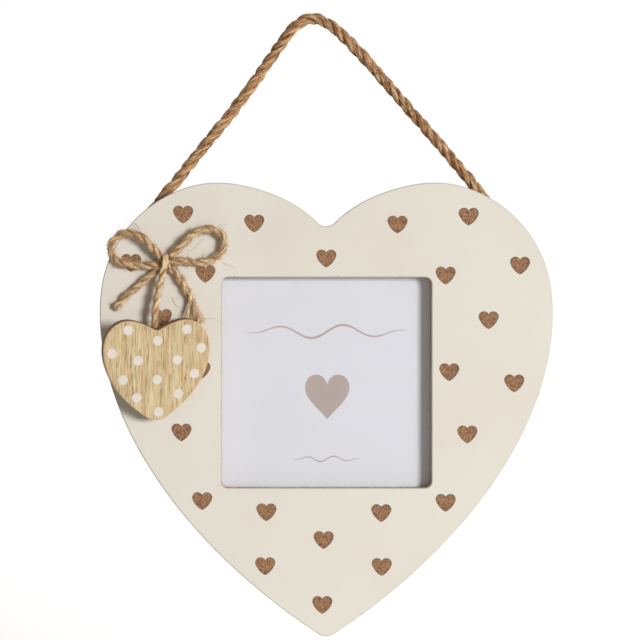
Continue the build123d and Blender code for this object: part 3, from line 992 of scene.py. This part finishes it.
# %% Charm materials
charm_wood, nodes, shader = new_material("charm_wood")
place = nodes.stretch(nodes.place(), 1.0, 0.2, 1.0)
wood = nodes.group(grain, Place=place, Seed=1.0)
tone = nodes.between(wood["Bands"], 0.38, 0.62, colour(192, 165, 121), colour(204, 184, 140))
tone = nodes.stain(tone, nodes.ramp(wood["Streaks"], 0.52, 0.66), 0.7, colour(170, 136, 96))
tone = nodes.stain(tone, nodes.ramp(wood["Streaks"], 0.46, 0.34), 0.6, colour(220, 202, 156))
tone = nodes.stain(tone, wood["Pores"], 0.85, colour(124, 90, 56))
nodes.dress(shader, tone, 0.62, wood["Height"], 0.35, 0.0001)

charm_edge = burnt_wood("charm_edge", colour(100, 66, 42), colour(146, 104, 68), 9.0)
# The rim is bare sanded wood, made lighter to the tone of a lit edge, so it is partly a painted
# highlight
charm_rim_sanded_and_highlit = burnt_wood("charm_rim_sanded_and_highlit", colour(206, 166, 118), colour(222, 190, 144), 12.0)


def largest_and_nearest(face):
    """Sorts faces by their area, and faces of one area by which is nearest to the camera."""
    return round(-face.area, 9), face.center.y


charm_front = min(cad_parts["charm"].data.polygons, key=largest_and_nearest).normal.copy()
if charm_front.y > 0:
    charm_front.negate()


def charm_finish(face):
    """Wood on the front and back, a sanded rim round the front painted lighter as a highlight, and a
    burnt side.
    """
    facing = face.normal.dot(charm_front)
    if abs(facing) > 0.9:
        return "wood"
    return "rim" if facing > 0.4 else "edge"


charm_looks = {"wood": charm_wood, "edge": charm_edge, "rim": charm_rim_sanded_and_highlit}
give_finishes("charm", charm_looks, charm_finish)

# %% Printed dots


def give_finish(node_name, material):
    """One material for the whole of a CAD mesh."""
    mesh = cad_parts[node_name].data
    mesh.materials.clear()
    mesh.materials.append(material)


dot_paint, nodes, shader = new_material("dot_paint")
place = nodes.place()
thin_spots = nodes.group(specks, Place=place, Spacing=0.0032, Share=0.10)["Mask"]
clouds = nodes.group(mottle, Place=place, Size=0.004, Seed=2.0)
paint = nodes.between(clouds["Cloud"], 0.3, 0.7, colour(212, 200, 187), colour(219, 208, 196))
nodes.dress(shader, nodes.stain(paint, thin_spots, 0.5, colour(170, 140, 110)), 0.55)
give_finish("charm_dots", dot_paint)
print("dots painted with", dot_paint.name)

# %% [markdown]
# ## Card and glass
# The card in the window is plain paper with a taupe heart and a fine ornament. The outlines are
# cut into the card's front, so the print has sharp edges. The glass lets light pass and adds
# only its reflections, and a hair's width of air keeps it apart from the card. Its index of
# refraction is set below that of real glass, because a white world reflects more in a pane than
# the photo shows.

# %% Card
card_low, card_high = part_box("photo_insert")
glass_low, glass_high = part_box("glass")
air_gap = 0.00005


def rectangle(low, high, depth, inset=0.0):
    """The corners of an upright rectangle at a depth: below left, below right and onwards."""
    return [(low.x + inset, depth, low.z + inset), (high.x - inset, depth, low.z + inset),
            (high.x - inset, depth, high.z - inset), (low.x + inset, depth, high.z - inset)]


def heart_outline(width, height, middle_x, middle_z, count=40):
    """A plain heart: an arc for each lobe, and curves down to the tip."""
    points = []
    for k in range(count):
        t = math.pi * k / count
        # A smaller power below the widest place makes the lower sides rounder
        x = math.sin(t) ** (3 if 2 * k < count else 2.2)
        z = (13 * math.cos(t) - 5 * math.cos(2 * t) - 2 * math.cos(3 * t) - math.cos(4 * t)) / 16
        points.append((x, z))
    right = [(middle_x + x * width / 2, middle_z + (z + 0.125) * height / 1.75) for x, z in points]
    left = [(2 * middle_x - x, z) for x, z in reversed(right[1:])]
    tip = (middle_x, middle_z + (-17 / 16 + 0.125) * height / 1.75)
    return right + [tip] + left


def wave_outline(middle_x, middle_z, reach, rise, thickness, count=60):
    """A slim wave that swells in its middle and runs out to a point at each end."""
    upper, lower = [], []
    for k in range(count + 1):
        share = 2 * k / count - 1
        height = rise * math.sin(share * 2.5 * math.pi) * (1 - share * share) ** 0.7
        half = thickness / 2 * (1 - abs(share)) ** 0.5 + 0.00002
        upper.append((middle_x + share * reach, middle_z + height + half))
        lower.append((middle_x + share * reach, middle_z + height - half))
    return upper + lower[::-1]


def inside(point, outline):
    """Whether a point lies inside a closed outline."""
    x, z = point
    crossings = 0
    for (x1, z1), (x2, z2) in zip(outline, outline[1:] + outline[:1]):
        if (z1 > z) != (z2 > z) and x < x1 + (z - z1) / (z2 - z1) * (x2 - x1):
            crossings += 1
    return crossings % 2 == 1


heart_place = (0.00454, -0.16425)
prints = [
    heart_outline(0.0198, 0.0194, *heart_place),
    wave_outline(heart_place[0], heart_place[1] + 0.0288, reach=0.036, rise=0.0030, thickness=0.0010),
    wave_outline(heart_place[0], heart_place[1] - 0.0279, reach=0.015, rise=0.0012, thickness=0.0006),
]
card_front = card_low.y + air_gap
flat_points = [(x, z) for x, _, z in rectangle(card_low, card_high, card_front)]
flat_edges = [(k, (k + 1) % 4) for k in range(4)]
for outline in prints:
    first = len(flat_points)
    flat_points += outline
    flat_edges += [(first + k, first + (k + 1) % len(outline)) for k in range(len(outline))]
flat, _, flat_faces = delaunay_2d_cdt([Vector(p) for p in flat_points], flat_edges, [], 1, 1e-7)[:3]
card_points = [(p.x, card_front, p.y) for p in flat]
card_faces = [tuple(face) for face in flat_faces]
card_prints = []
for face in card_faces:
    middle = sum((flat[k] for k in face), Vector((0, 0))) / len(face)
    card_prints.append(int(any(inside(middle, outline) for outline in prints)))


def nearest_point(place):
    """The number of the point of the cut card that lies nearest to a place."""
    return min(range(len(flat)), key=lambda k: (flat[k] - Vector(place)).length)


front = [nearest_point(place) for place in flat_points[:4]]
back = [len(card_points) + k for k in range(4)]
card_points += rectangle(card_low, card_high, card_high.y)
card_faces += [(front[(k + 1) % 4], front[k], back[k], back[(k + 1) % 4]) for k in range(4)]
card_faces.append(tuple(reversed(back)))
card_prints += [0] * (len(card_faces) - len(card_prints))
card = new_piece("window_card", card_points, card_faces)
card.data.polygons.foreach_set("material_index", card_prints)
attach(card, "frame")
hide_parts("photo_insert")


def paper(name, pale, deep, seed):
    """Smooth paper with faint clouds."""
    material, nodes, shader = new_material(name)
    clouds = nodes.group(mottle, Place=nodes.place(), Size=0.02, Seed=seed)
    nodes.dress(shader, nodes.mix(clouds["Cloud"], pale, deep), 0.6, clouds["Grain"], 0.1, 0.00005)
    return material


card.data.materials.append(paper("card_paper", colour(221, 219, 227), colour(215, 213, 220), 1.0))
card.data.materials.append(paper("card_print", colour(172, 154, 149), colour(167, 148, 142), 5.0))
print("card faces", len(card_faces), "of them printed", sum(card_prints))

# %% Glass
rim_size = 0.0003
glass_back = glass_high.y - air_gap
rings = [
    rectangle(glass_low, glass_high, glass_low.y, rim_size),
    rectangle(glass_low, glass_high, glass_low.y + rim_size),
    rectangle(glass_low, glass_high, glass_back - rim_size),
    rectangle(glass_low, glass_high, glass_back, rim_size),
]
glass_faces = [(0, 1, 2, 3), (15, 14, 13, 12)]
for base in (0, 4, 8):
    glass_faces += [(base + (k + 1) % 4, base + k, base + 4 + k, base + 4 + (k + 1) % 4)
                    for k in range(4)]
glass = new_piece("window_glass", [p for ring in rings for p in ring], glass_faces)
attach(glass, "frame")
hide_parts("glass")

clear_glass, nodes, shader = new_material("clear_glass")
nodes.dress(shader, colour(250, 252, 251), 0.02)
shader["Transmission Weight"].default_value = 1.0
shader["IOR"].default_value = 1.35
ray = nodes.add("ShaderNodeLightPath").outputs
lets_light = nodes.math("MAXIMUM", ray["Is Shadow Ray"], ray["Is Diffuse Ray"])
passing = nodes.add("ShaderNodeBsdfTransparent").outputs[0]
ends = clear_glass.node_tree.nodes
either = nodes.mix_shader(lets_light, ends["Principled BSDF"].outputs[0], passing)
nodes.put(ends["Material Output"].inputs["Surface"], either)
glass.data.materials.append(clear_glass)
print("glass is", round(glass_high.x - glass_low.x, 3), "m a side")

# %% [markdown]
# ## Pieces on the back
# Four wooden rails hold the backing board, four zinc plated turn buttons swing over it, and
# galvanised staples hold the rope. They are CAD meshes with finishes of their own.

# %% Finishes of the back


def wood_strip(name, seed, lying):
    """Pale pine with its grain along the strip."""
    material, nodes, shader = new_material(name)
    place = nodes.place()
    if lying:
        split = nodes.separate(place)
        place = nodes.combine(split["Z"], split["Y"], split["X"])
    wood = nodes.group(grain, Place=place, Seed=seed)
    tone = nodes.between(wood["Bands"], 0.35, 0.65, colour(214, 182, 134), colour(230, 204, 160))
    tone = nodes.stain(tone, wood["Streaks"], 0.4, colour(190, 150, 104))
    tone = nodes.stain(tone, wood["Pores"], 0.4, colour(150, 110, 74))
    nodes.dress(shader, tone, 0.65, wood["Height"], 0.3, 0.0001)
    return material


screen_waves = 4200.0
hardboard, nodes, shader = new_material("hardboard")
place = nodes.place()
felt = nodes.noise(place, 1300.0, 4.0, 0.7, 1.2)
split = nodes.separate(place)
waves = [nodes.math("SINE", nodes.math("MULTIPLY", split[axis], screen_waves)) for axis in "XZ"]
screen = nodes.math("MULTIPLY", *waves)
tone = nodes.between(felt, 0.35, 0.65, colour(112, 78, 52), colour(146, 106, 74))
tone = nodes.stain(tone, nodes.ramp(screen, -0.2, 0.8), 0.25, colour(90, 60, 40))
nodes.dress(shader, tone, 0.7, nodes.math("ADD", screen, felt), 0.4, 0.0001)


def plated_steel(name, tone, seed, roughness):
    """Zinc plated steel: cloudy, with fine scratches."""
    material, nodes, shader = new_material(name)
    place = nodes.place()
    clouds = nodes.group(mottle, Place=place, Size=0.004, Seed=seed)
    lines = nodes.noise(nodes.stretch(place, 1.0, 1.0, 0.08), 3000.0, 2.0, 0.6, 0.0, seed)
    tone = nodes.stain(tone, clouds["Cloud"], 0.5, colour(150, 152, 156))
    nodes.dress(shader, tone, nodes.math("MULTIPLY_ADD", lines, 0.25, roughness), lines, 0.15, 0.00003)
    shader["Metallic"].default_value = 1.0
    return material


def hot_glue(name):
    """Hardened clear glue: milky and glossy."""
    material, nodes, shader = new_material(name)
    clouds = nodes.group(mottle, Place=nodes.place(), Size=0.002, Seed=4.0)
    tone = nodes.mix(clouds["Cloud"], colour(226, 220, 204), colour(238, 234, 224))
    nodes.dress(shader, tone, 0.25)
    shader["Transmission Weight"].default_value = 0.35
    return material


back_finishes = {
    "rail_top": wood_strip("rail_wood_top", 1.0, True),
    "rail_bottom": wood_strip("rail_wood_bottom", 2.0, True),
    "rail_left": wood_strip("rail_wood_left", 3.0, False),
    "rail_right": wood_strip("rail_wood_right", 4.0, False),
    "backing_board": hardboard,
    "button_screws": plated_steel("screw_steel", colour(196, 196, 194), 5.0, 0.28),
    "staples": plated_steel("staple_wire", colour(188, 190, 194), 6.0, 0.32),
    "bow_glue": hot_glue("bow_glue_clear"),
    "charm_glue": hot_glue("charm_glue_clear"),
}
button_steel = plated_steel("button_steel", colour(206, 208, 210), 7.0, 0.30)
for side_name in ("top", "bottom", "left", "right"):
    back_finishes[f"turn_button_{side_name}"] = button_steel
for node_name, material in back_finishes.items():
    give_finish(node_name, material)
print("finishes on the back:", len(back_finishes))

# %% [markdown]
# ## Light and backdrop
# The key lamp stands to the right and a little above the object's middle, about 36 degrees
# off straight in front, as the shadow in the window shows. The white world fills the shadows.
# A round pale floor lies under the object and keeps its shadow. White is only what the camera
# sees: the world lights the object at a lower level.

# %% Floor
white = (1.0, 1.0, 1.0, 1.0)
floor_drop, floor_radius, floor_corners = 0.05, 0.9, 96
floor_glow = 0.50
floor_height = cad_low.z - floor_drop
rim_angles = [2 * math.pi * k / floor_corners for k in range(floor_corners)]
rim_points = [(floor_radius * math.cos(a), floor_radius * math.sin(a), floor_height)
              for a in rim_angles]
floor = new_piece("studio_floor", rim_points, [tuple(range(floor_corners))])

floor_paint, nodes, shader = new_material("floor_paint")
nodes.dress(shader, (0.86, 0.86, 0.86, 1.0), 0.9)
glow = nodes.add("ShaderNodeEmission", Color=white, Strength=floor_glow).outputs[0]
black = nodes.add("ShaderNodeEmission", Strength=0.0).outputs[0]
ends = floor_paint.node_tree.nodes
total = nodes.add("ShaderNodeAddShader")
nodes.put(total.inputs[0], ends["Principled BSDF"].outputs[0])
nodes.put(total.inputs[1], nodes.mix_shader(nodes.seen(), black, glow))
nodes.put(ends["Material Output"].inputs["Surface"], total.outputs[0])
floor.data.materials.append(floor_paint)
print("floor at z", round(floor_height, 3))

# %% World
world = bpy.data.worlds.new("white_studio")
scene.world = world
world.use_nodes = True
nodes = Nodes(world.node_tree)
fill_level = 0.17
fill_colour = (1.0, 0.905, 0.74, 1.0)
seen = nodes.seen()
background = world.node_tree.nodes["Background"].inputs
nodes.put(background["Strength"], nodes.math("MULTIPLY_ADD", seen, 1.0 - fill_level, fill_level))
nodes.put(background["Color"], nodes.mix(seen, fill_colour, white))
print("the world fills at", fill_level)

# %% Lamps


def lamp(name, azimuth, elevation, distance, size, power, tint):
    """A square soft lamp that faces the middle of the object, seen at an angle off the front."""
    data = bpy.data.lights.new(name, "AREA")
    data.size = size
    data.energy = power
    data.color = tint
    middle = (cad_low + cad_high) / 2
    a, e = math.radians(azimuth), math.radians(elevation)
    away = Vector((math.sin(a) * math.cos(e), -math.cos(a) * math.cos(e), math.sin(e)))
    piece = bpy.data.objects.new(name, data)
    piece.location = middle + away * distance
    piece.rotation_euler = (-away).to_track_quat("-Z", "Y").to_euler()
    scene.collection.objects.link(piece)
    return piece


lamp("key_lamp", azimuth=36.5, elevation=5, distance=4.0, size=1.0, power=150.0,
     tint=(0.96, 0.975, 1.0))
lamp("back_lamp", azimuth=150, elevation=35, distance=1.5, size=0.9, power=11.0,
     tint=(1.0, 1.0, 1.0))
